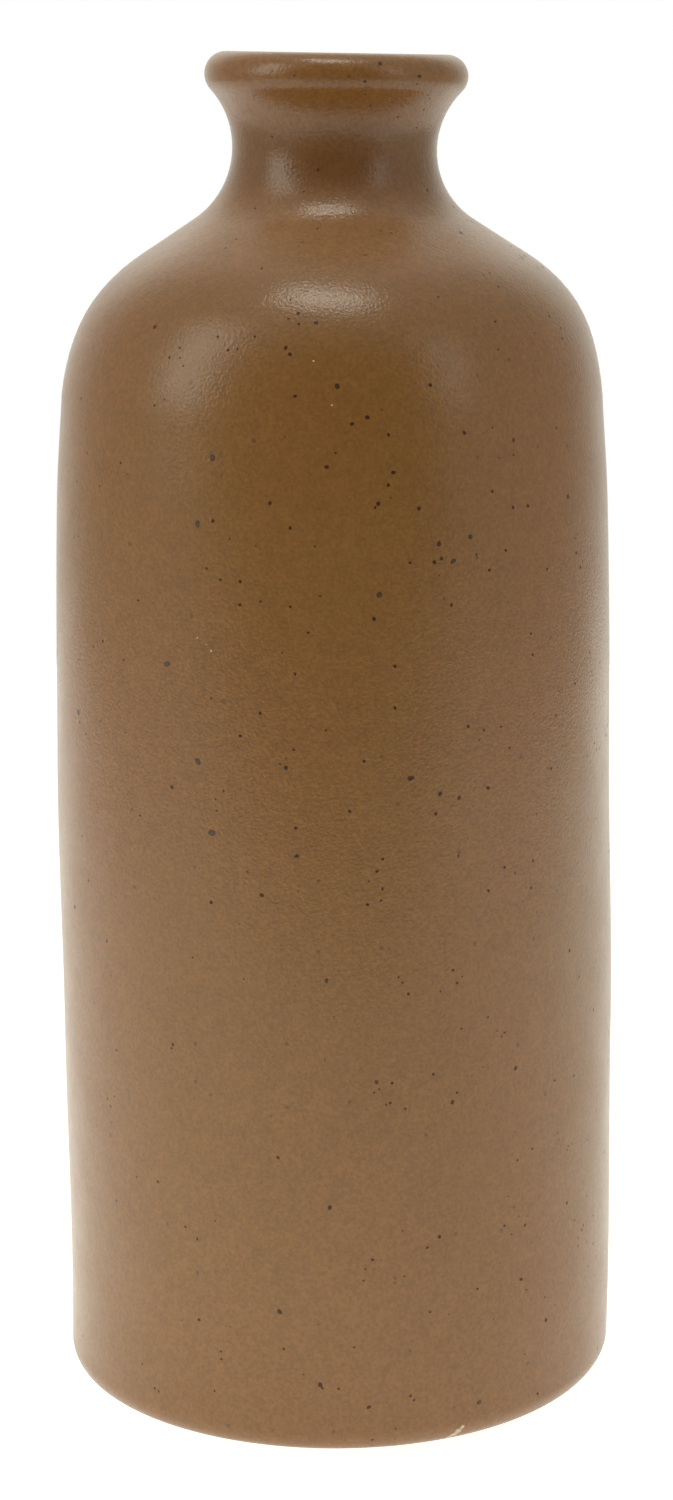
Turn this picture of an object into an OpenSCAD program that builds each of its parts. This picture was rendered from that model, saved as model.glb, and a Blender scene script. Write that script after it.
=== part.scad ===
// Bottle-shaped stoneware bud vase: a fired clay body with a speckled glaze outside,
// a liner glaze inside and a patch of glaze under the foot.
// The vase stands on z = 0 with its axis on +Z. All sizes are in millimetres.

/* [Body] */
// Height from the table to the top of the lip
height = 240; // [220:5:280]
// Diameter of the glazed wall near the foot
body_d = 100.2; // [94:0.2:110]
// Loss of diameter from the straight lower wall to the start of the shoulder
draw_in = 4; // [0:0.2:8]
// Height at which the wall starts to draw in
straight_h = 86; // [40:2:110]
// Radius of the domed shoulder
shoulder_r = 32; // [26:0.5:36]
// Slope of the shoulder where it runs into the neck, in degrees from level
shoulder_slope = 33; // [28:1:40]

/* [Neck and lip] */
// Outer diameter at the waist of the neck
neck_d = 35.6; // [34:0.2:42]
// Radius of the hollow sweep from shoulder to lip
neck_sweep_r = 14.4; // [12:0.2:17]
// Drop from the top of the lip to the waist of the neck
waist_drop = 16.3; // [15:0.1:18]
// Radius of the rolled lip
lip_r = 3.8; // [3:0.1:4.2]
// Depth that the straight bore cuts into the clay at the waist of the neck
bore_cut = 0.6; // [0.4:0.1:1]
// Flare of the mouth above the bore, in degrees from the axis
mouth_flare = 12; // [8:1:16]

/* [Foot] */
// Radius of the tight corner between wall and base
corner_r = 5; // [3:0.2:6]
// Height of the centre of that corner
corner_h = 6.4; // [6.2:0.1:8]
// Width of the shallow sweep from the corner in to the foot
sweep_w = 11.4; // [10:0.2:13]
// Width of the bare ring that the vase stands on
ring_w = 4.6; // [3:0.2:8]
// Depth of the recess inside the ring
recess_h = 2; // [1.4:0.1:3]

/* [Clay and glaze] */
// Thickness of the fired clay wall
wall = 4; // [3.4:0.1:4.4]
// Thickness of the clay floor
floor_t = 5; // [4:0.5:10]
// Radius where the inside wall meets the floor
floor_corner_r = 9; // [4:0.5:14]
// Thickness of the glaze, inside and outside
glaze = 0.45; // [0.3:0.05:0.6]
// Height above the table at which the outer glaze stops
glaze_line = 1; // [0.8:0.1:2]
// Depth inside the mouth at which the outer glaze meets the liner
glaze_reach = 26; // [24:1:30]
// Bare margin between the foot ring and the glaze in the recess
base_margin = 0.8; // [0.4:0.1:3]

/* [Hidden] */
$fn = 180;

clay_colour = [0.80, 0.70, 0.57];
glaze_colour = [0.47, 0.34, 0.21];
liner_colour = [0.40, 0.28, 0.17];

body_r = body_d / 2;
shoulder_top_r = body_r - draw_in / 2;
neck_r = neck_d / 2;
total_wall = wall + 2 * glaze;
bore_r = neck_r - total_wall + bore_cut;
// How far the bare ring reaches out past the foot of the sweep
ring_reach = 0.8;
// How far the cut for the mouth stands above the lip
mouth_clear = 1;
wall_bands = 6;

function dir(angle) = [cos(angle), sin(angle)];

// Neck sweep: a hollow circle that lies outside the neck, level with its waist
neck_c = [neck_r + neck_sweep_r, height - waist_drop];
slope_normal = [sin(shoulder_slope), cos(shoulder_slope)];
neck_start = neck_c - neck_sweep_r * slope_normal;

// Shoulder: a circle tangent to the wall and to the slope that runs into the neck sweep
shoulder_x = shoulder_top_r - shoulder_r;
shoulder_c = [
    shoulder_x,
    neck_start[1] - (shoulder_r - (neck_start[0] - shoulder_x) * slope_normal[0]) / slope_normal[1]
];

// Lip: a circle that touches the neck sweep from outside and reaches the full height
lip_rise = height - lip_r - neck_c[1];
lip_c = [
    neck_c[0] - sqrt(pow(neck_sweep_r + lip_r, 2) - pow(lip_rise, 2)),
    height - lip_r
];
lip_start_angle = atan2(neck_c[1] - lip_c[1], neck_c[0] - lip_c[0]);

// Base: a broad sweep that leaves the table at sweep_x and a tight corner tangent to it
sweep_x = body_r - sweep_w;
corner_c = [body_r - corner_r, corner_h];
sweep_r = (pow(corner_c[0] - sweep_x, 2) + pow(corner_h, 2) - pow(corner_r, 2))
    / (2 * (corner_h - corner_r));
sweep_c = [sweep_x, sweep_r];
corner_angle = atan2(corner_c[1] - sweep_c[1], corner_c[0] - sweep_c[0]);

// Inside: the floor stands above the recess, and the wall runs parallel to the outside
floor_z = recess_h + floor_t + glaze;
ring_outer_r = sweep_x + ring_reach;
ring_inner_r = ring_outer_r - ring_w;

// Radius of the glazed wall at height z, drawn in along a gentle curve
function wall_radius(z) = z < straight_h
    ? body_r
    : body_r - draw_in / 2 * pow((z - straight_h) / (shoulder_c[1] - straight_h), 2);

// Points up the wall, inset from the glazed surface
function wall_points(inset) = [
    for (i = [0:wall_bands])
        let (z = straight_h + (shoulder_c[1] - straight_h) * i / wall_bands)
            [wall_radius(z) - inset, z]
];

// A slice of a circle, up to 90 degrees wide, with a true round edge
module sector(centre, radius, from_angle, to_angle) {
    intersection() {
        translate(centre) circle(radius);
        polygon([
            centre,
            centre + 2 * radius * dir(from_angle),
            centre + 2 * radius * dir(to_angle)
        ]);
    }
}

// Everything inside the outer surface, shrunk by inset, as if the vase were solid
module outline(inset) {
    shoulder_end = shoulder_c + (shoulder_r - inset) * slope_normal;
    neck_foot = neck_c - (neck_sweep_r + inset) * slope_normal;
    lip_start = lip_c + (lip_r - inset) * dir(lip_start_angle);
    difference() {
        union() {
            polygon(concat(
                [[0, inset], [sweep_x, inset]],
                [sweep_c + (sweep_r - inset) * dir(corner_angle)],
                [[body_r - inset, corner_h]],
                wall_points(inset),
                [shoulder_end, neck_foot],
                [[neck_r - inset, neck_c[1]]],
                [lip_start, lip_c, [lip_c[0], height - inset], [0, height - inset]]
            ));
            sector(sweep_c, sweep_r - inset, -90, corner_angle);
            sector(corner_c, corner_r - inset, corner_angle, 0);
            sector(shoulder_c, shoulder_r - inset, 0, 90 - shoulder_slope);
            translate(lip_c) circle(lip_r - inset);
        }
        translate(neck_c) circle(neck_sweep_r + inset);
    }
}

// The space inside the vase, grown by grow: chamber, neck bore and flared mouth
module hollow(grow) {
    inset = total_wall - grow;
    inner_r = body_r - inset;
    corner = floor_corner_r + grow;
    corner_z = floor_z + floor_corner_r;
    shoulder_end = shoulder_c + (shoulder_r - inset) * slope_normal;
    neck_foot = neck_c - (neck_sweep_r + inset) * slope_normal;
    throat_r = bore_r + grow;
    flare = lip_c + (lip_r - grow) * dir(180 - mouth_flare);
    flare_start = flare[1] - (flare[0] - throat_r) / tan(mouth_flare);
    difference() {
        union() {
            polygon(concat(
                [[0, floor_z - grow], [inner_r - corner, floor_z - grow], [inner_r, corner_z]],
                wall_points(inset),
                [shoulder_end, neck_foot],
                [[neck_r - inset, neck_c[1]], [0, neck_c[1]]]
            ));
            sector([inner_r - corner, corner_z], corner, -90, 0);
            sector(shoulder_c, shoulder_r - inset, 0, 90 - shoulder_slope);
        }
        translate(neck_c) circle(neck_sweep_r + inset);
    }
    difference() {
        polygon([
            [0, shoulder_c[1]],
            [throat_r, shoulder_c[1]],
            [throat_r, flare_start],
            flare,
            lip_c,
            [lip_c[0], height + mouth_clear],
            [0, height + mouth_clear]
        ]);
        translate(lip_c) circle(lip_r - grow);
    }
}

// Half of the vase's wall, shrunk by inset on every side
module section(inset) {
    difference() {
        outline(inset);
        hollow(inset);
    }
}

// The coat of glaze all over the wall, before it is shared between outside and inside
module coat() {
    difference() {
        section(0);
        section(glaze);
    }
}

// The fired clay: wall, floor, neck and lip, and the bare ring that it stands on
module stoneware_body() {
    color(clay_colour)
        rotate_extrude()
            difference() {
                union() {
                    section(glaze);
                    translate([ring_inner_r, 0]) square([ring_w, recess_h]);
                }
                square([ring_inner_r, recess_h]);
            }
}

// Outer glaze: from the glaze line up the wall, over the lip and down into the neck
module outer_glaze() {
    color(glaze_colour)
        rotate_extrude()
            difference() {
                coat();
                square([body_r, glaze_line]);
                intersection() {
                    outline(glaze + wall / 2);
                    square([body_r, height - glaze_reach]);
                }
            }
}

// Liner glaze: makes the inside hold water, from the floor up to the outer glaze
module liner_glaze() {
    color(liner_colour)
        rotate_extrude()
            intersection() {
                coat();
                outline(glaze + wall / 2);
                square([body_r, height - glaze_reach]);
            }
}

// A disc of glaze in the recess under the vase, clear of the table
module base_glaze() {
    color(glaze_colour)
        translate([0, 0, recess_h - glaze])
            cylinder(h = glaze, r = ring_inner_r - base_margin);
}

stoneware_body();
outer_glaze();
liner_glaze();
base_glaze();
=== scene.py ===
"""Bottle-shaped stoneware bud vase under a satin brown glaze with iron specks.

The clay and its glazes are turned to the CAD model's outline, in its place and at its size, with the
slight lean and swelling of hand work. Specks and marks are laid on the glaze. Lengths are in metres
and angles in degrees. Angle 0 round the vase is its front (-Y) and 90 is its right (+X).
"""

import math
import random
from bisect import bisect_left

import bmesh
import bpy
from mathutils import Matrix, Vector


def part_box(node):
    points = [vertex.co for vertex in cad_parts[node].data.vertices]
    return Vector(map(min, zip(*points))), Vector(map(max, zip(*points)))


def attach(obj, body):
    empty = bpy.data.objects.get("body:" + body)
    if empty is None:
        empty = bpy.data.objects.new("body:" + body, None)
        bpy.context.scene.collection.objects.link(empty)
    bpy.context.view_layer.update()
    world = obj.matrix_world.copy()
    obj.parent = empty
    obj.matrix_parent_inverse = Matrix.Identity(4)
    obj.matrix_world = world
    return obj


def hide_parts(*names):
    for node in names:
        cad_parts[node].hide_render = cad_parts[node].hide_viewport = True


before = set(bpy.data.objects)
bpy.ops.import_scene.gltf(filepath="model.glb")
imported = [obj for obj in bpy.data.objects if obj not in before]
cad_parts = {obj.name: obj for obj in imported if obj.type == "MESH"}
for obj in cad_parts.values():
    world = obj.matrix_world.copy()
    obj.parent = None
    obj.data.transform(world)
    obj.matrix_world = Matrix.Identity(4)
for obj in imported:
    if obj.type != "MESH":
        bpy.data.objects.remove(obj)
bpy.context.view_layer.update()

# ---------------------------------------------------------------- sizes, from the frame

GLAZE_LOW, GLAZE_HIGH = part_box("outer_glaze")
CLAY_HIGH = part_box("stoneware_body")[1]
LINER_LOW, LINER_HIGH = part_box("liner_glaze")
POOL_LOW, POOL_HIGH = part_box("base_glaze")

HEIGHT = GLAZE_HIGH.z
BODY_R = GLAZE_HIGH.x
GLAZE_LINE = GLAZE_LOW.z
GLAZE = BODY_R - CLAY_HIGH.x
WALL = CLAY_HIGH.x - LINER_HIGH.x
FLOOR_Z = LINER_LOW.z + GLAZE
JOIN_Z = LINER_HIGH.z
POOL_R = POOL_HIGH.x
RECESS = POOL_HIGH.z
TOTAL_WALL = WALL + 2 * GLAZE

# ---------------------------------------------------------------- the outline, as in part.scad

# Sizes that part.scad gives as diameters are radii here
MM = 0.001
DRAW_IN = 2.0 * MM
STRAIGHT_H = 86 * MM
SHOULDER_R = 32 * MM
SLOPE = 33
NECK_R = 17.8 * MM
SWEEP_R = 14.4 * MM
WAIST_DROP = 16.3 * MM
LIP_R = 3.8 * MM
BORE_CUT = 0.6 * MM
MOUTH_FLARE = 12
CORNER_R = 5 * MM
CORNER_H = 6.4 * MM
BASE_SWEEP_W = 11.4 * MM
RING_REACH = 0.8 * MM
BASE_MARGIN = 0.8 * MM
FLOOR_CORNER_R = 9 * MM
RING_OUT_R = BODY_R - BASE_SWEEP_W + RING_REACH
RING_IN_R = POOL_R + BASE_MARGIN

# Rounding of the foot ring's inner edge, and of the glaze pool's rim as a share of its thickness
RING_EDGE = 0.5 * MM
BEAD = 0.9

# The longest steps along the outline, the fewest in an arc or a straight run, and those round the vase
STEP = 2.5 * MM
ARC_STEP = 5
FEWEST_IN_ARC = 3
FEWEST_IN_LINE = 2
SEGMENTS = 240

# A point nearer the axis than this lies on it
ON_AXIS = 1e-6


def direction(angle):
    """Unit step in the outline's (radius, height) plane."""
    return Vector((math.cos(math.radians(angle)), math.sin(math.radians(angle))))


def arc(centre, radius, start, end):
    """Points along an arc, at most one STEP and one ARC_STEP apart."""
    turn = abs(end - start)
    by_length = math.ceil(math.radians(turn) * radius / STEP)
    count = max(FEWEST_IN_ARC, math.ceil(turn / ARC_STEP), by_length)
    return [
        centre + radius * direction(start + (end - start) * i / count)
        for i in range(count + 1)
    ]


def line(start, end):
    """Points about one STEP apart along a straight run, both ends left out."""
    count = max(FEWEST_IN_LINE, round((end - start).length / STEP))
    return [start.lerp(end, i / count) for i in range(1, count)]


neck_c = Vector((NECK_R + SWEEP_R, HEIGHT - WAIST_DROP))
slope_normal = direction(90 - SLOPE)
neck_start = neck_c - SWEEP_R * slope_normal
shoulder_x = BODY_R - DRAW_IN - SHOULDER_R
shoulder_c = Vector((
    shoulder_x,
    neck_start.y - (SHOULDER_R - (neck_start.x - shoulder_x) * slope_normal.x) / slope_normal.y,
))
lip_z = HEIGHT - LIP_R
lip_c = Vector((neck_c.x - math.sqrt((SWEEP_R + LIP_R) ** 2 - (lip_z - neck_c.y) ** 2), lip_z))
lip_angle = math.degrees(math.atan2(neck_c.y - lip_c.y, neck_c.x - lip_c.x))
corner_c = Vector((BODY_R - CORNER_R, CORNER_H))
sweep_x = BODY_R - BASE_SWEEP_W
base_sweep_r = ((corner_c.x - sweep_x) ** 2 + CORNER_H**2 - CORNER_R**2) / (2 * (CORNER_H - CORNER_R))
base_c = Vector((sweep_x, base_sweep_r))
corner_angle = math.degrees(math.atan2(corner_c.y - base_c.y, corner_c.x - base_c.x))


def wall_radius(z):
    """Radius of the glazed wall, which draws in gently towards the shoulder."""
    if z < STRAIGHT_H:
        return BODY_R
    return BODY_R - DRAW_IN * ((z - STRAIGHT_H) / (shoulder_c.y - STRAIGHT_H)) ** 2


def wall(inset, low, high):
    """The long side of the vase between two heights."""
    count = round((high - low) / STEP)
    heights = [low + (high - low) * i / count for i in range(count + 1)]
    return [Vector((wall_radius(z) - inset, z)) for z in heights]


def slope_ends(inset):
    """The two ends of the straight slope, at the shoulder and at the neck."""
    return [shoulder_c + (SHOULDER_R - inset) * slope_normal, neck_c - (SWEEP_R + inset) * slope_normal]


def outside(inset, low_z):
    """The outer surface from a height near the foot up to the top of the lip."""
    radius = base_sweep_r - inset
    start = -math.degrees(math.asin((base_c.y - low_z) / radius))
    return (
        arc(base_c, radius, start, corner_angle)
        + arc(corner_c, CORNER_R - inset, corner_angle, 0)[1:]
        + wall(inset, CORNER_H, shoulder_c.y)[1:]
        + arc(shoulder_c, SHOULDER_R - inset, 0, 90 - SLOPE)[1:]
        + line(*slope_ends(inset))
        + arc(neck_c, SWEEP_R + inset, 270 - SLOPE, 180 + lip_angle)
        + arc(lip_c, LIP_R - inset, lip_angle, 90)[1:]
    )


def throat(grow):
    """The mouth from the top of the lip down to the foot of the neck's bore."""
    bore_r = NECK_R - TOTAL_WALL + BORE_CUT + grow
    flare = lip_c + (LIP_R - grow) * direction(180 - MOUTH_FLARE)
    flare_z = flare.y - (flare.x - bore_r) / math.tan(math.radians(MOUTH_FLARE))
    sweep = SWEEP_R + TOTAL_WALL - grow
    bore_angle = math.degrees(math.acos((neck_c.x - bore_r) / sweep))
    top = Vector((bore_r, flare_z))
    foot = neck_c + sweep * direction(180 + bore_angle)
    return (
        arc(lip_c, LIP_R - grow, 90, 180 - MOUTH_FLARE)[1:]
        + line(flare, top)
        + [top]
        + line(top, foot)
        + arc(neck_c, sweep, 180 + bore_angle, 270 - SLOPE)
    )


def chamber(grow):
    """The inside from the foot of the neck down to the middle of the floor."""
    inset = TOTAL_WALL - grow
    floor_corner = Vector((BODY_R - inset - FLOOR_CORNER_R - grow, FLOOR_Z + FLOOR_CORNER_R))
    centre = Vector((0, FLOOR_Z - grow))
    return (
        line(*reversed(slope_ends(inset)))
        + arc(shoulder_c, SHOULDER_R - inset, 90 - SLOPE, 0)
        + wall(inset, floor_corner.y, shoulder_c.y)[::-1][1:]
        + arc(floor_corner, FLOOR_CORNER_R + grow, 0, -90)[1:]
        + line(Vector((floor_corner.x, centre.y)), centre)
        + [centre]
    )


def above(points, z):
    """The part of an outline that lies above height z."""
    return [p for p in points if p.y > z]


def below(points, z):
    """The part of an outline that lies below height z."""
    return [p for p in points if p.y <= z]


# ---------------------------------------------------------------- the hand-made form

# How far the vase's centre leans to the right (+X) and how much its wall swells, in mm, at a few
# shares of its height
LEAN = [
    (0.0, -0.1), (0.03, 0.9), (0.08, 1.0), (0.28, 0.5), (0.48, -0.3),
    (0.75, -0.5), (0.85, 0.1), (0.89, -0.2), (1.0, 0.3),
]
SWELL = [
    (0.0, 0.05), (0.28, 0.2), (0.48, 0.05), (0.68, 0.25), (0.77, -0.25),
    (0.83, 0.4), (0.87, 0.1), (0.95, 0.1), (1.0, 0.2),
]

# The vase is oval, longest at OVAL_TURN from its front, in full from OVAL_FROM of its height upwards.
# Its lip dips to the right, more and more from DIP_FROM of its height.
OVAL = 0.12 * MM
OVAL_TURN = 35
OVAL_FROM = 0.1
LIP_DIP = 0.3 * MM
DIP_FROM = 0.93


def held(share):
    """A share, held between 0 and 1."""
    return min(max(share, 0), 1)


def eased(table, z):
    """A value from a table at height z, eased between the stated heights."""
    heights, amounts = zip(*table)
    level = held(z / HEIGHT)
    i = max(k for k in range(len(table) - 1) if heights[k] <= level)
    t = (level - heights[i]) / (heights[i + 1] - heights[i])
    t = t * t * (3 - 2 * t)
    return (amounts[i] * (1 - t) + amounts[i + 1] * t) * MM


def hand_made(radius, angle, z):
    """A point of the outline, turned to an angle, with the vase's small unevenness."""
    turn = math.radians(angle)
    oval = OVAL * math.cos(2 * (turn - math.radians(OVAL_TURN))) * held(z / (OVAL_FROM * HEIGHT))
    swell = (oval + eased(SWELL, z)) * min(1, radius / NECK_R)
    dip = LIP_DIP * math.sin(turn) * held((z / HEIGHT - DIP_FROM) / (1 - DIP_FROM)) * radius / NECK_R
    x = (radius + swell) * math.sin(turn) + eased(LEAN, z)
    y = -(radius + swell) * math.cos(turn)
    return Vector((x, y, z - dip))


def lathe(name, outline, closed):
    """Turns an outline into a mesh. Points on the axis become one vertex each."""
    mesh = bmesh.new()
    turns = [360 * i / SEGMENTS for i in range(SEGMENTS)]
    rings = []
    for p in outline:
        if p.x < ON_AXIS:
            rings.append([mesh.verts.new(hand_made(0, 0, p.y))])
        else:
            rings.append([mesh.verts.new(hand_made(p.x, angle, p.y)) for angle in turns])
    pairs = list(zip(rings, rings[1:]))
    if closed:
        pairs.append((rings[-1], rings[0]))
    for low, high in pairs:
        for i in range(SEGMENTS):
            j = (i + 1) % SEGMENTS
            if len(low) > 1 and len(high) > 1:
                mesh.faces.new((low[i], low[j], high[j], high[i]))
            elif len(high) > 1:
                mesh.faces.new((low[0], high[j], high[i]))
            elif len(low) > 1:
                mesh.faces.new((low[i], low[j], high[0]))
    return finish_mesh(name, mesh)


def smooth(mesh):
    """Turns every face outwards and shades it smooth."""
    bmesh.ops.recalc_face_normals(mesh, faces=mesh.faces)
    for face in mesh.faces:
        face.smooth = True


def finish_mesh(name, mesh):
    """Puts a bmesh in the scene as a smooth-shaded object."""
    smooth(mesh)
    data = bpy.data.meshes.new(name)
    mesh.to_mesh(data)
    mesh.free()
    piece = bpy.data.objects.new(name, data)
    bpy.context.collection.objects.link(piece)
    return piece


# ---------------------------------------------------------------- node trees

RANGE_INPUTS = ("Value", "From Min", "From Max", "To Min", "To Max")

# Where a Mix node keeps its factor and its two colours among its inputs, and its colour output
MIX_INPUTS = (0, 6, 7)
MIX_COLOUR = 2


def connect(tree, value, socket):
    """Sets an input, or links it when the value is an output."""
    if isinstance(value, bpy.types.NodeSocket):
        tree.links.new(value, socket)
    else:
        socket.default_value = value


def ramp(tree, value, low, high, to_low, to_high):
    """A smooth ramp between two amounts, held at its ends. Every amount may be an output."""
    node = tree.nodes.new("ShaderNodeMapRange")
    node.interpolation_type = "SMOOTHSTEP"
    for key, amount in zip(RANGE_INPUTS, (value, low, high, to_low, to_high)):
        connect(tree, amount, node.inputs[key])
    return node.outputs["Result"]


def maths(tree, kind, *values):
    """One sum on one or two values."""
    node = tree.nodes.new("ShaderNodeMath")
    node.operation = kind
    for socket, value in zip(node.inputs, values):
        connect(tree, value, socket)
    return node.outputs[0]


class Nodes:
    """A material, and a short way to write its node tree."""

    def __init__(self, name):
        self.material = bpy.data.materials.new(name)
        self.material.use_nodes = True
        self.tree = self.material.node_tree
        self.shader = self.tree.nodes["Principled BSDF"]

    def add(self, kind, settings=(), **inputs):
        """Adds a node. settings are its properties and inputs its values or links."""
        node = self.tree.nodes.new(kind)
        for key, value in dict(settings).items():
            setattr(node, key, value)
        for key, value in inputs.items():
            connect(self.tree, value, node.inputs[key])
        return node

    def put(self, key, value):
        """Sets or links one input of the shader."""
        connect(self.tree, value, self.shader.inputs[key])

    def place(self):
        """The object's own coordinates, in metres."""
        return self.add("ShaderNodeTexCoord").outputs["Object"]

    def along(self, place, axis):
        """One coordinate of a place."""
        return self.add("ShaderNodeSeparateXYZ", Vector=place).outputs[axis]

    def attribute(self, name):
        """A number that each vertex of the mesh carries."""
        return self.add("ShaderNodeAttribute", {"attribute_name": name}).outputs["Fac"]

    def noise(self, place, scale, detail, roughness):
        """Fractal noise, about 0.5 in the middle."""
        node = self.add(
            "ShaderNodeTexNoise", Vector=place, Scale=scale, Detail=detail, Roughness=roughness
        )
        return node.outputs["Fac"]

    def spread(self, value, low, high, to_low=0.0, to_high=1.0):
        """Maps a range of values to another, held at its ends."""
        return ramp(self.tree, value, low, high, to_low, to_high)

    def maths(self, kind, a, b):
        """One sum on two values."""
        return maths(self.tree, kind, a, b)

    def band(self, height, rise_from, rise_to, fall_from, fall_to):
        """1 in a band of heights and 0 beyond it. The four limits are shares of the vase's height."""
        foot = self.spread(height, rise_from * HEIGHT, rise_to * HEIGHT)
        top = self.spread(height, fall_to * HEIGHT, fall_from * HEIGHT)
        return self.maths("MULTIPLY", foot, top)

    def grey(self, value):
        """A grey of the given brightness."""
        return self.add("ShaderNodeCombineColor", Red=value, Green=value, Blue=value).outputs["Color"]

    def mix(self, factor, a, b, blend="MIX"):
        """Mixes two colours."""
        node = self.add("ShaderNodeMix", {"data_type": "RGBA", "blend_type": blend})
        for index, value in zip(MIX_INPUTS, (factor, a, b)):
            connect(self.tree, value, node.inputs[index])
        return node.outputs[MIX_COLOUR]

    def bump(self, height, strength, distance, **normal):
        """A surface direction tipped by a height pattern, from another direction if one is given."""
        node = self.add("ShaderNodeBump", Strength=strength, Distance=distance, Height=height, **normal)
        return node.outputs["Normal"]


# ---------------------------------------------------------------- materials

GLAZE_OLIVE = (0.183, 0.084, 0.0170, 1)
GLAZE_RUST = (0.195, 0.079, 0.0206, 1)
GLAZE_TAN = (0.240, 0.112, 0.034, 1)
# Painted reflection: the paler brown of a band on the slope below the neck
PAINTED_REFLECTION_TONE = (0.232, 0.112, 0.042, 1)
PEPPER = (0.060, 0.030, 0.014, 1)
SPECK_DARK = (0.042, 0.016, 0.006, 1)
SPECK_BLUE = (0.080, 0.070, 0.062, 1)
LINER_WARM = (0.115, 0.052, 0.016, 1)
LINER_DARK = (0.085, 0.038, 0.013, 1)
CLAY_PALE = (0.62, 0.52, 0.39, 1)
CLAY_WARM = (0.50, 0.38, 0.25, 1)
GROG_BROWN = (0.24, 0.17, 0.10, 1)

# Noises: scale, detail and roughness
GLAZE_DRIFT = (16, 2.0, 0.5)
GLAZE_CLOUD = (60, 4.0, 0.6)
GLAZE_BLOTCH = (420, 3.0, 0.6)
GLAZE_GRAIN = (1400, 3.0, 0.7)
SATIN_PATCHES = (90, 3.0, 0.5)
ORANGE_PEEL = (620, 2.0, 0.4)
GLAZE_TOOTH = (1900, 2.0, 0.5)
SPECK_EDGE = (3000, 3.0, 0.7)
MARK_FLECKS = (900, 3.0, 0.5)
LINER_DRIFT = (45, 4.0, 0.5)
CLAY_DRIFT = (120, 4.0, 0.6)
CLAY_GROG = (1800, 3.0, 0.7)
CLAY_TOOTH = (1500, 4.0, 0.7)

# Spans of a noise that are stretched into a pattern: most of it, its middle, and its peaks
MOST = (0.3, 0.7)
MIDDLE = (0.35, 0.65)
PEAKS = (0.56, 0.68)

# The glaze's colour: how far it drifts to rust, how much paler it gets from TAN_FROM of the height
# down to the foot and how much that varies, how far fine grain and blotches shade it, where a painted
# reflection lies as a paler band on the slope, and where it is darker in a band round the neck, as
# shares of the height
RUST_SHARE = (0.15, 0.85)
TAN_FROM = 0.75
TAN_AT_FOOT = 0.5
TAN_VARIES = 0.06
GRAIN_SHADE = 0.14
BLOTCH_SHADE = 0.05
PAINTED_REFLECTION_BAND = (0.84, 0.87, 0.88, 0.91)
NECK_DARK_BAND = (0.89, 0.925, 0.94, 0.96)
NECK_DARK_SHADE = 0.86

# Pepper: cells to a metre, share of cells with hardly a dot, the largest dot's radius and its soft
# edge in cells, and how dark a dot is
PEPPER_CELLS = 380
PEPPER_FREE = 0.75
PEPPER_REACH = 0.16
PEPPER_EDGE = 0.03
PEPPER_DEPTH = 0.55

# The glaze's surface: a glossy coat over a haze of fine crystals. Bumps are a strength and a height.
GLAZE_IOR = 1.52
COAT = 0.65
COAT_ROUGHNESS = 0.17
HAZE = 0.15
HAZE_ROUGHNESS = (0.42, 0.5)
PEEL_BUMP = (0.25, 0.06 * MM)
TOOTH_BUMP = (0.9, 0.08 * MM)

# Specks and marks, by their depth of colour, which is 0 at the rim and 1 in the middle
SPECK_RAGGED = 0.15
SPECK_FULL = 0.7
SPECK_COAT_SPAN = (0.2, 0.8)
SPECK_COAT = 0.15
SPECK_HAZE = 0.12
MARK_SPAN = (0.2, 0.9)

# The bare clay: how much of the grog's colour shows, the roughness, and the tooth's bump
GROG_DEPTH = 0.5
CLAY_ROUGHNESS = (0.78, 0.9)
CLAY_BUMP = (0.5, 0.1 * MM)


def glaze_colour(nodes, place):
    """Brown that drifts between olive and rust, darker round the neck, with a painted reflection and fine
    mottling.
    """
    height = nodes.along(place, "Z")
    drift = nodes.spread(nodes.noise(place, *GLAZE_DRIFT), *MOST, *RUST_SHARE)
    colour = nodes.mix(drift, GLAZE_OLIVE, GLAZE_RUST)
    low = nodes.spread(height, TAN_FROM * HEIGHT, 0.0, 0.0, TAN_AT_FOOT)
    cloud = nodes.spread(nodes.noise(place, *GLAZE_CLOUD), *MIDDLE, -TAN_VARIES, TAN_VARIES)
    colour = nodes.mix(nodes.maths("ADD", low, cloud), colour, GLAZE_TAN)
    # Painted reflection: a paler band on the slope below the neck, standing in for light reflected there
    colour = nodes.mix(nodes.band(height, *PAINTED_REFLECTION_BAND), colour, PAINTED_REFLECTION_TONE)
    grain = nodes.spread(nodes.noise(place, *GLAZE_GRAIN), *MOST, 1 - GRAIN_SHADE, 1 + GRAIN_SHADE)
    blotch = nodes.spread(nodes.noise(place, *GLAZE_BLOTCH), *MOST, 1 - BLOTCH_SHADE, 1 + BLOTCH_SHADE)
    # Darker in a band round the neck, below the lip
    neck_dark = nodes.spread(nodes.band(height, *NECK_DARK_BAND), 0.0, 1.0, 1.0, NECK_DARK_SHADE)
    shade = nodes.maths("MULTIPLY", nodes.maths("MULTIPLY", grain, blotch), neck_dark)
    colour = nodes.mix(1.0, colour, nodes.grey(shade), "MULTIPLY")
    return nodes.mix(pepper(nodes, place), colour, PEPPER)


def pepper(nodes, place):
    """Fine round dots of many sizes, as the share of their colour that shows."""
    cells = nodes.add("ShaderNodeTexVoronoi", Vector=place, Scale=PEPPER_CELLS)
    chance = nodes.add("ShaderNodeSeparateColor", Color=cells.outputs["Color"]).outputs["Red"]
    reach = nodes.spread(chance, PEPPER_FREE, 1.0, 0.0, PEPPER_REACH)
    past = nodes.maths("SUBTRACT", cells.outputs["Distance"], reach)
    return nodes.maths("MULTIPLY", nodes.spread(past, PEPPER_EDGE, -PEPPER_EDGE), PEPPER_DEPTH)


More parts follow.
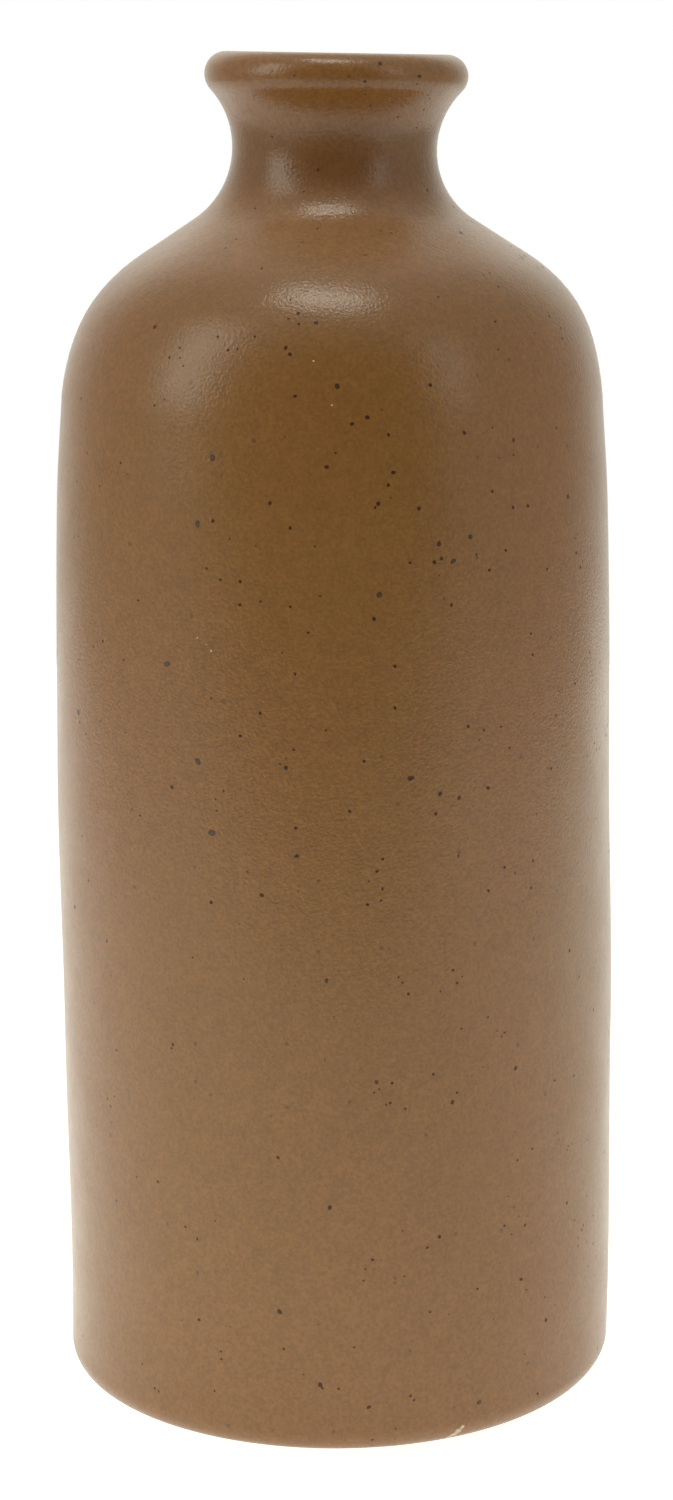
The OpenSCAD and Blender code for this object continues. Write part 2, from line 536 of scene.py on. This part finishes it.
def glaze_surface(nodes, place):
    """A glossy skin over a hazy body of fine crystals, with orange peel and a fine tooth."""
    patches = nodes.spread(nodes.noise(place, *SATIN_PATCHES), *MOST)
    nodes.put("Roughness", nodes.spread(patches, 0.0, 1.0, *HAZE_ROUGHNESS))
    nodes.put("IOR", GLAZE_IOR)
    nodes.put("Specular IOR Level", HAZE)
    nodes.put("Coat Weight", COAT)
    nodes.put("Coat Roughness", COAT_ROUGHNESS)
    nodes.put("Coat IOR", GLAZE_IOR)
    peel = nodes.bump(nodes.noise(place, *ORANGE_PEEL), *PEEL_BUMP)
    tooth = nodes.bump(nodes.noise(place, *GLAZE_TOOTH), *TOOTH_BUMP, Normal=peel)
    nodes.put("Normal", tooth)
    nodes.put("Coat Normal", tooth)


def speckled_glaze():
    """The outer glaze."""
    nodes = Nodes("speckled_glaze")
    place = nodes.place()
    nodes.put("Base Color", glaze_colour(nodes, place))
    glaze_surface(nodes, place)
    return nodes.material


def iron_speck():
    """Melted iron: dark in the middle, fading into the glaze at the rim."""
    nodes = Nodes("iron_speck")
    place = nodes.place()
    glaze = glaze_colour(nodes, place)
    ragged = nodes.spread(nodes.noise(place, *SPECK_EDGE), *MOST, -SPECK_RAGGED, SPECK_RAGGED)
    depth = nodes.maths("ADD", nodes.attribute("core"), ragged)
    middle = nodes.maths("MULTIPLY", nodes.attribute("blue"), nodes.spread(depth, SPECK_FULL, 1.0))
    metal = nodes.mix(middle, SPECK_DARK, SPECK_BLUE)
    nodes.put("Base Color", nodes.mix(nodes.spread(depth, 0.0, SPECK_FULL), glaze, metal))
    glaze_surface(nodes, place)
    nodes.put("Coat Weight", nodes.spread(depth, *SPECK_COAT_SPAN, COAT, SPECK_COAT))
    nodes.put("Specular IOR Level", SPECK_HAZE)
    return nodes.material


def pin_mark():
    """Pale clay that shows through where the glaze parted."""
    nodes = Nodes("pin_mark")
    place = nodes.place()
    glaze = glaze_colour(nodes, place)
    flecks = nodes.spread(nodes.noise(place, *MARK_FLECKS), *MIDDLE)
    pale = nodes.mix(flecks, CLAY_PALE, CLAY_WARM)
    bare = nodes.spread(nodes.attribute("core"), *MARK_SPAN)
    nodes.put("Base Color", nodes.mix(bare, glaze, pale))
    glaze_surface(nodes, place)
    return nodes.material


def inside_glaze():
    """The liner: the same family of brown, deeper, under the same skin."""
    nodes = Nodes("inside_glaze")
    place = nodes.place()
    drift = nodes.spread(nodes.noise(place, *LINER_DRIFT), *MIDDLE)
    nodes.put("Base Color", nodes.mix(drift, LINER_WARM, LINER_DARK))
    glaze_surface(nodes, place)
    return nodes.material


def bare_clay():
    """Fired buff clay: dry and fine-grained, with brown grains of grog."""
    nodes = Nodes("bare_clay")
    place = nodes.place()
    drift = nodes.spread(nodes.noise(place, *CLAY_DRIFT), *MIDDLE)
    colour = nodes.mix(drift, CLAY_PALE, CLAY_WARM)
    grog = nodes.spread(nodes.noise(place, *CLAY_GROG), *PEAKS, 0.0, GROG_DEPTH)
    nodes.put("Base Color", nodes.mix(grog, colour, GROG_BROWN))
    nodes.put("Roughness", nodes.spread(drift, 0.0, 1.0, *CLAY_ROUGHNESS))
    nodes.put("Normal", nodes.bump(nodes.noise(place, *CLAY_TOOTH), *CLAY_BUMP))
    return nodes.material


# ---------------------------------------------------------------- the pieces of the vase

def make_outer_glaze(material):
    """The glaze coat: over the outside and the lip and down into the neck, closed on the clay."""
    skin = outside(0, GLAZE_LINE) + above(throat(0) + chamber(0), JOIN_Z)
    back = outside(GLAZE, GLAZE_LINE) + above(throat(GLAZE) + chamber(GLAZE), JOIN_Z)
    piece = lathe("outer_glaze_coat", skin + back[::-1], closed=True)
    piece.data.materials.append(material)
    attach(piece, "root")
    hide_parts("outer_glaze")


def make_liner(material):
    """The glaze inside the chamber."""
    skin = below(throat(0) + chamber(0), JOIN_Z)
    back = below(throat(GLAZE) + chamber(GLAZE), JOIN_Z)
    piece = lathe("liner_glaze_coat", skin + back[::-1], closed=False)
    close_rim(piece)
    piece.data.materials.append(material)
    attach(piece, "root")
    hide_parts("liner_glaze")


def close_rim(piece):
    """Closes the open rim of a coat that was turned from its rim to the axis and back."""
    mesh = bmesh.new()
    mesh.from_mesh(piece.data)
    loose = [edge for edge in mesh.edges if edge.is_boundary]
    bmesh.ops.bridge_loops(mesh, edges=loose)
    smooth(mesh)
    mesh.to_mesh(piece.data)
    mesh.free()


def make_clay(material):
    """The fired body, from the middle of the recess round the foot ring and over to the floor."""
    outer_edge = RING_EDGE / 2
    ring_side = base_c.y - math.sqrt((base_sweep_r - GLAZE) ** 2 - (RING_OUT_R - base_c.x) ** 2)
    recess_centre = Vector((0, RECESS))
    recess_side = Vector((RING_IN_R, RECESS))
    foot = (
        [recess_centre]
        + line(recess_centre, recess_side)
        + [recess_side, Vector((RING_IN_R, RECESS / 2))]
        + arc(Vector((RING_IN_R + RING_EDGE, RING_EDGE)), RING_EDGE, 180, 270)
        + line(Vector((RING_IN_R + RING_EDGE, 0)), Vector((RING_OUT_R - outer_edge, 0)))
        + arc(Vector((RING_OUT_R - outer_edge, outer_edge)), outer_edge, 270, 360)
    )
    outline = foot + outside(GLAZE, ring_side) + throat(GLAZE) + chamber(GLAZE)
    piece = lathe("fired_clay_body", outline, closed=False)
    piece.data.materials.append(material)
    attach(piece, "root")
    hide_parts("stoneware_body")


def make_base_pool(material):
    """The glaze lying flat in the recess, with a rounded edge."""
    bead = (RECESS - POOL_LOW.z) * BEAD
    rim = arc(Vector((POOL_R - bead, RECESS)), bead, 0, -90)
    top = Vector((0, RECESS))
    bottom = Vector((0, rim[-1].y))
    outline = [top] + line(top, Vector((POOL_R, RECESS))) + rim + line(rim[-1], bottom) + [bottom]
    piece = lathe("base_glaze_pool", outline, closed=False)
    piece.data.materials.append(material)
    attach(piece, "root")
    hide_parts("base_glaze")


# ---------------------------------------------------------------- specks and marks

# Specks that stand out on the front: angle, height in mm, size in mm, and how blue-grey
NOTABLE_SPECKS = [
    (1, 187, 1.1, 0.2), (-1, 174, 0.9, 0.0), (9, 153, 1.1, 0.5), (8, 149, 0.8, 0.0),
    (24, 158, 1.1, 0.5), (20, 158, 0.9, 0.0), (7, 182, 0.9, 0.0), (4, 181, 0.8, 0.0),
    (12, 173, 0.9, 0.0), (11, 171, 0.8, 0.0), (9, 168, 0.9, 0.0), (-10, 193, 0.8, 0.0),
    (-9, 192, 0.8, 0.0), (-4, 197, 0.9, 0.6), (-34, 140, 1.3, 1.0), (-27, 124, 1.3, 1.0),
    (-24, 112, 1.4, 1.0), (-33, 119, 0.9, 0.3), (-63, 128, 1.2, 0.9), (-9, 124, 0.9, 0.1),
    (15, 122, 1.2, 0.2), (21, 119, 0.9, 0.2), (25, 118, 0.9, 0.2), (-12, 28, 1.1, 0.3),
    (-4, 15, 1.0, 0.2), (20, 41, 0.8, 0.0), (39, 30, 0.9, 0.1), (29, 9, 1.1, 0.9),
    (-24, 175, 1.2, 0.8), (42, 166, 0.8, 0.0), (-27, 164, 1.2, 0.9), (21, 161, 1.1, 0.2),
    (-7, 109, 0.9, 0.2), (-14, 102, 0.9, 0.2), (-8, 164, 0.7, 0.0), (-12, 168, 0.8, 0.0),
    (17, 167, 0.8, 0.0), (27, 179, 0.8, 0.0), (38, 166, 0.8, 0.0), (33, 169, 0.7, 0.0),
    (32, 156, 0.7, 0.0), (36, 159, 0.7, 0.0), (12, 141, 0.7, 0.0), (12, 134, 0.7, 0.0),
    (27, 130, 0.7, 0.0), (-14, 133, 0.7, 0.0), (-18, 129, 0.7, 0.0), (-18, 151, 0.7, 0.0),
    (-22, 155, 0.6, 0.0), (-8, 151, 0.6, 0.0),
]

# The other specks: how many are tried, the share of the surface's length that they may stand on, and
# how many more there are on the right than on the left. Their sizes in mm spread about a middle one,
# and those larger than BLUE_FROM are somewhat blue-grey.
SPECK_SEED = 11
SPECK_TRIES = 1000
SPECKED = (0.005, 0.97)
RIGHT_SHARE = 0.25
SPECK_SIZE = 0.54
SPECK_SIZE_SPREAD = 0.3
SPECK_LARGEST = 1.0
BLUE_FROM = 0.8
BLUE_MOST = 0.7

# Some specks have up to CLUSTER_MOST small ones beside them, within CLUSTER_REACH degrees and mm
CLUSTER_CHANCE = 0.15
CLUSTER_MOST = 3
CLUSTER_REACH = 4
CLUSTER_SIZES = (0.35, 0.65)

# Pin marks where the glaze parted over the clay: angle, height in mm and size in mm
PIN_MARKS = [(-4, 191, 0.42), (0, 184, 0.38), (-24, 143, 0.45), (-25, 144, 0.3), (-27, 145, 0.3)]

# A chip in the glaze at the foot, as overlapping flakes up a slant, and nicks to the left of it
CHIP_MARKS = [
    (24.1, 2.7, 1.5), (24.7, 3.4, 1.8), (25.2, 4.1, 1.7), (25.7, 4.9, 1.2),
    (22.4, 2.5, 0.7), (20.6, 2.2, 0.8),
]
MARK_SEED = 5

# The rings of a spot from its rim inwards: share of its radius, rise above the glaze, depth of colour
SPOT_RINGS = (
    (1.0, 0.004 * MM, 0.0),
    (0.8, 0.010 * MM, 0.35),
    (0.58, 0.016 * MM, 0.9),
    (0.3, 0.020 * MM, 1.0),
)
SPOT_TOP = 0.022 * MM
SPOT_SIDES = 12
SPOT_STRETCH = (0.82, 1.22)
SPOT_WOBBLE = (0.86, 1.14)

surface = outside(0, GLAZE_LINE) + throat(0)
surface_lengths = [0.0]
for a, b in zip(surface, surface[1:]):
    surface_lengths.append(surface_lengths[-1] + (b - a).length)


def on_surface(length):
    """Outline point and outward direction at a distance along the glazed surface from the foot."""
    i = min(max(bisect_left(surface_lengths, length) - 1, 0), len(surface) - 2)
    span = surface_lengths[i + 1] - surface_lengths[i]
    t = (length - surface_lengths[i]) / span
    run = (surface[i + 1] - surface[i]).normalized()
    return surface[i].lerp(surface[i + 1], t), Vector((run.y, -run.x))


def length_at(z):
    """Distance along the outer surface at which it reaches height z."""
    i = next(k for k, p in enumerate(surface) if p.y > z)
    t = (z - surface[i - 1].y) / (surface[i].y - surface[i - 1].y)
    return surface_lengths[i - 1] + t * (surface_lengths[i] - surface_lengths[i - 1])


def spot_mesh():
    """An empty mesh with the layers that hold a spot's depth of colour and its blueness."""
    mesh = bmesh.new()
    return mesh, (mesh.verts.layers.float.new("core"), mesh.verts.layers.float.new("blue"))


def spot_point(mesh, layers, angle, length, across, along, rise, core, blue):
    """A vertex beside a spot's centre, laid on the glaze and raised a little."""
    point, out = on_surface(length + along)
    turn = angle + math.degrees(across / point.x)
    spot = point + out * rise
    vert = mesh.verts.new(hand_made(spot.x, turn, spot.y))
    vert[layers[0]] = core
    vert[layers[1]] = blue
    return vert


def add_spot(mesh, layers, angle, length, size, blue, rng):
    """One shallow irregular dome, which follows the glaze and fades at its rim."""
    stretch = rng.uniform(*SPOT_STRETCH)
    tilt = rng.uniform(0, math.pi)
    wobble = [rng.uniform(*SPOT_WOBBLE) for _ in range(SPOT_SIDES)]
    rings = []
    for reach, rise, core in SPOT_RINGS:
        ring = []
        for k in range(SPOT_SIDES):
            turn = 2 * math.pi * k / SPOT_SIDES
            u = math.cos(turn) * stretch
            v = math.sin(turn) / stretch
            far = reach * wobble[k] * size / 2
            across = (u * math.cos(tilt) - v * math.sin(tilt)) * far
            along = (u * math.sin(tilt) + v * math.cos(tilt)) * far
            ring.append(spot_point(mesh, layers, angle, length, across, along, rise, core, blue))
        rings.append(ring)
    centre = spot_point(mesh, layers, angle, length, 0, 0, SPOT_TOP, 1.0, blue)
    for k in range(SPOT_SIDES):
        j = (k + 1) % SPOT_SIDES
        for low, high in zip(rings, rings[1:]):
            mesh.faces.new((low[k], low[j], high[j], high[k]))
        mesh.faces.new((rings[-1][k], rings[-1][j], centre))


def add_cluster(mesh, layers, angle, length, rng):
    """A few small specks round a place."""
    first, last = (share * surface_lengths[-1] for share in SPECKED)
    for _ in range(rng.randint(1, CLUSTER_MOST)):
        turn = angle + rng.uniform(-CLUSTER_REACH, CLUSTER_REACH)
        reach = length + rng.uniform(-CLUSTER_REACH, CLUSTER_REACH) * MM
        reach = min(max(reach, first), last)
        add_spot(mesh, layers, turn, reach, rng.uniform(*CLUSTER_SIZES) * MM, 0.0, rng)


def make_specks(material):
    """Iron specks all over the outside: fine ones scattered and in clusters, and a few coarse ones."""
    rng = random.Random(SPECK_SEED)
    mesh, layers = spot_mesh()
    for angle, height, size, blue in NOTABLE_SPECKS:
        add_spot(mesh, layers, angle, length_at(height * MM), size * MM, blue, rng)
    for _ in range(SPECK_TRIES):
        angle = rng.uniform(-180, 180)
        length = rng.uniform(*SPECKED) * surface_lengths[-1]
        share = 1 - RIGHT_SHARE + RIGHT_SHARE * math.sin(math.radians(angle))
        if rng.random() > on_surface(length)[0].x / BODY_R * share:
            continue
        size = min(rng.lognormvariate(math.log(SPECK_SIZE), SPECK_SIZE_SPREAD), SPECK_LARGEST)
        blue = BLUE_MOST * rng.random() if size > BLUE_FROM else 0.0
        add_spot(mesh, layers, angle, length, size * MM, blue, rng)
        if rng.random() < CLUSTER_CHANCE:
            add_cluster(mesh, layers, angle, length, rng)
    piece = finish_mesh("iron_specks", mesh)
    piece.data.materials.append(material)
    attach(piece, "root")


def make_marks(name, marks, material):
    """Pale marks at given angles, heights and sizes."""
    rng = random.Random(MARK_SEED)
    mesh, layers = spot_mesh()
    for angle, height, size in marks:
        add_spot(mesh, layers, angle, length_at(height * MM), size * MM, 0.0, rng)
    piece = finish_mesh(name, mesh)
    piece.data.materials.append(material)
    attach(piece, "root")


# ---------------------------------------------------------------- floor

WHITE = (1, 1, 1, 1)
WARM_WHITE = (1.0, 0.985, 0.88)

FLOOR_SIDE = 0.65
FLOOR_FRONT = 0.5
FLOOR_BACK = 0.7
FLOOR_GRAIN = (40, 3.0, 0.5)
FLOOR_GREY = (0.86, 0.9)
FLOOR_ROUGHNESS = 0.9

# The floor's glow, and how much more it is near the vase, on the left, on the right and to the camera.
# Each span is where that part sets in and where it is full: a distance from the axis, or a place in X.
FLOOR_GLOW = 0.39
NEAR_GLOW = 0.3
NEAR_SPAN = (0.35, 0.07)
LEFT_GLOW = 0.25
LEFT_SPAN = (0.1, -0.3)
RIGHT_GLOW = 0.45
RIGHT_SPAN = (0.12, 0.42)
SEEN_GLOW = 0.15


def make_floor():
    """A plain white table top with a soft glow, which ends short of the camera."""
    mesh = bmesh.new()
    front = [(-FLOOR_SIDE, -FLOOR_FRONT), (FLOOR_SIDE, -FLOOR_FRONT)]
    back = [(FLOOR_SIDE, FLOOR_BACK), (-FLOOR_SIDE, FLOOR_BACK)]
    mesh.faces.new([mesh.verts.new((x, y, 0)) for x, y in front + back])
    floor = finish_mesh("floor", mesh)
    floor.data.materials.append(pale_floor())


def pale_floor():
    """White that glows warm on the vase and plain white to the camera."""
    nodes = Nodes("pale_floor")
    place = nodes.place()
    grain = nodes.spread(nodes.noise(place, *FLOOR_GRAIN), *MOST, *FLOOR_GREY)
    nodes.put("Base Color", nodes.grey(grain))
    nodes.put("Roughness", FLOOR_ROUGHNESS)
    seen = nodes.add("ShaderNodeLightPath").outputs["Is Camera Ray"]
    nodes.put("Emission Color", nodes.mix(seen, (*WARM_WHITE, 1), WHITE))
    distance = nodes.add("ShaderNodeVectorMath", {"operation": "LENGTH"})
    connect(nodes.tree, place, distance.inputs[0])
    side = nodes.along(place, "X")
    near = nodes.spread(distance.outputs["Value"], *NEAR_SPAN, 0.0, NEAR_GLOW)
    left = nodes.spread(side, *LEFT_SPAN, FLOOR_GLOW, FLOOR_GLOW + LEFT_GLOW)
    right = nodes.spread(side, *RIGHT_SPAN, 0.0, RIGHT_GLOW)
    glow = nodes.maths("ADD", nodes.maths("ADD", near, left), right)
    plain = nodes.maths("MULTIPLY", seen, SEEN_GLOW)
    nodes.put("Emission Strength", nodes.maths("ADD", glow, plain))
    return nodes.material


# ---------------------------------------------------------------- light and camera

# The tent's light on each side of the vase, and in the opening for the camera, above and below
TENT_LIGHT = 0.72
SIDE_LIGHT = 0.56
BACK_LIGHT = 1.0
HIGH_BACK_LIGHT = 1.5
TOP_LIGHT = 0.8
OPENING_LIGHT = 0.1
OPENING_FILL = 0.28

# Where one light gives way to the next, by how far a direction points back (+Y) or up (+Z)
FRONT_SPAN = (-0.92, -0.35)
SIDE_SPAN = (-0.1, 0.3)
BACK_SPAN = (0.45, 0.97)
OPENING_RISE = (-0.14, -0.02)
BACK_RISE = (0.15, 0.55)
TOP_RISE = (0.55, 0.9)

# Softboxes: azimuth from the camera's side, elevation, distance, width, height and radiance. They face
# a point on the axis, and fade over FEATHER of their size towards each edge.
SOFTBOXES = {
    "overhead_softbox": (-19, 80, 0.9, 0.56, 0.34, 6.7),
    "left_softbox": (-66, 27, 0.9, 0.5, 1.0, 2.8),
    "right_softbox": (52, 23, 1.0, 0.32, 0.9, 1.5),
}
SOFTBOX_AIM = Vector((0, 0, 0.8 * HEIGHT))
FEATHER = 0.3

# The camera: sensor and lens in mm, place in X, distance in vase heights, and degrees tipped down
SENSOR = 36
LENS = 77.4
CAMERA_X = 0.3 * MM
CAMERA_AWAY = 2.382
CAMERA_TIP = 12.2


def feather(data):
    """Fades a softbox towards its four edges."""
    data.use_nodes = True
    tree = data.node_tree
    spot = tree.nodes.new("ShaderNodeNewGeometry").outputs["Parametric"]
    split = tree.nodes.new("ShaderNodeSeparateXYZ")
    tree.links.new(spot, split.inputs[0])
    centre = 0.5
    fades = []
    for axis in ("X", "Y"):
        reach = maths(tree, "ABSOLUTE", maths(tree, "SUBTRACT", split.outputs[axis], centre))
        fades.append(ramp(tree, reach, centre, centre - FEATHER, 0.0, 1.0))
    strength = tree.nodes["Emission"].inputs["Strength"]
    tree.links.new(maths(tree, "MULTIPLY", *fades), strength)


def make_softbox(name, azimuth, elevation, distance, width, height, radiance):
    """A soft rectangular light that faces the vase's shoulder."""
    data = bpy.data.lights.new(name, "AREA")
    data.shape = "RECTANGLE"
    data.size = width
    data.size_y = height
    data.energy = radiance * math.pi * width * height
    data.color = WARM_WHITE
    feather(data)
    light = bpy.data.objects.new(name, data)
    turn = math.radians(azimuth)
    rise = math.radians(elevation)
    towards = Vector((math.sin(turn) * math.cos(rise), -math.cos(turn) * math.cos(rise), math.sin(rise)))
    light.location = SOFTBOX_AIM + towards * distance
    light.rotation_mode = "QUATERNION"
    light.rotation_quaternion = towards.to_track_quat("Z", "Y")
    bpy.context.collection.objects.link(light)


def make_surroundings():
    """A white tent with a dark opening on the camera's side. The camera itself sees plain white."""
    world = bpy.data.worlds.new("studio")
    bpy.context.scene.world = world
    world.use_nodes = True
    tree = world.node_tree
    shade = tree.nodes["Background"]
    shade.inputs["Color"].default_value = (*WARM_WHITE, 1)
    seen = tree.nodes.new("ShaderNodeBackground")
    seen.inputs["Color"].default_value = WHITE
    coords = tree.nodes.new("ShaderNodeTexCoord")
    split = tree.nodes.new("ShaderNodeSeparateXYZ")
    tree.links.new(coords.outputs["Generated"], split.inputs[0])
    back = split.outputs["Y"]
    up = split.outputs["Z"]
    opening = ramp(tree, up, *OPENING_RISE, OPENING_FILL, OPENING_LIGHT)
    front = ramp(tree, back, *FRONT_SPAN, opening, TENT_LIGHT)
    top = ramp(tree, up, *TOP_RISE, SIDE_LIGHT, TOP_LIGHT)
    side = ramp(tree, back, *SIDE_SPAN, front, top)
    high = ramp(tree, up, *BACK_RISE, BACK_LIGHT, HIGH_BACK_LIGHT)
    connect(tree, ramp(tree, back, *BACK_SPAN, side, high), shade.inputs["Strength"])
    path = tree.nodes.new("ShaderNodeLightPath")
    mix = tree.nodes.new("ShaderNodeMixShader")
    for socket, output in zip(mix.inputs, (path.outputs["Is Camera Ray"], shade.outputs[0], seen.outputs[0])):
        tree.links.new(output, socket)
    tree.links.new(mix.outputs[0], tree.nodes["World Output"].inputs["Surface"])


def make_camera():
    """Level with the lip, CAMERA_AWAY vase heights away, tipped down to the middle of the vase."""
    data = bpy.data.cameras.new("camera")
    data.sensor_width = SENSOR
    data.lens = LENS
    camera = bpy.data.objects.new("camera", data)
    camera.location = (CAMERA_X, -CAMERA_AWAY * HEIGHT, HEIGHT)
    camera.rotation_euler = (math.radians(90 - CAMERA_TIP), 0, 0)
    bpy.context.collection.objects.link(camera)
    bpy.context.scene.camera = camera


make_camera()
glaze_material = speckled_glaze()
make_outer_glaze(glaze_material)
make_liner(inside_glaze())
make_clay(bare_clay())
make_base_pool(glaze_material)
make_specks(iron_speck())
mark_material = pin_mark()
make_marks("pin_marks", PIN_MARKS, mark_material)
make_marks("foot_chip", CHIP_MARKS, mark_material)
make_floor()
make_surroundings()
for name, numbers in SOFTBOXES.items():
    make_softbox(name, *numbers)
bpy.context.scene.view_settings.view_transform = "Standard"
